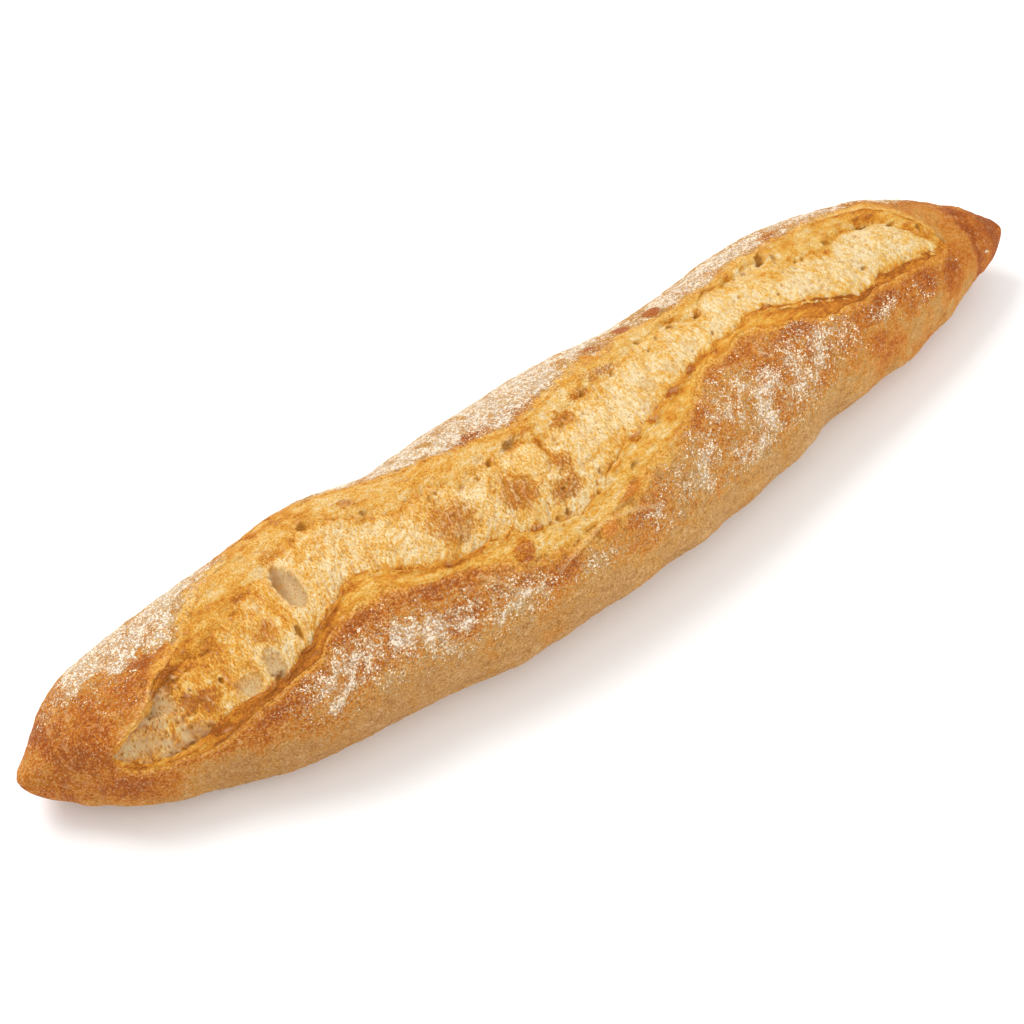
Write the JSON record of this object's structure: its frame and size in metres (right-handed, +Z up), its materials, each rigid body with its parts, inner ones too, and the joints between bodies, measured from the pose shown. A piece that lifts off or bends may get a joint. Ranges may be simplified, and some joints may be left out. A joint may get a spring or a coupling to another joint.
{
  "type": "baguette",
  "caption": "Rustic baguette with tapered ends, one long torn slash with rolled golden lips, floury brown crust and a flat underside.",
  "frame": {"origin": "under the middle of the loaf's bounding box, on the plane it rests on", "axes": "+X along the loaf towards the end where the slash sits on the crest, +Y towards the high rolled lip of the slash, +Z up, away from the flat underside"},
  "size_m": [0.4, 0.0936, 0.0586],
  "materials": {
    "crust": "dry matte baked crust",
    "lip": "dry matte golden crust, thinner and paler",
    "crumb": "dry matte open crumb",
    "flour": "matte powder"
  },
  "bodies": {
    "root": {"loaf": "crust"}
  },
  "joints": []
}
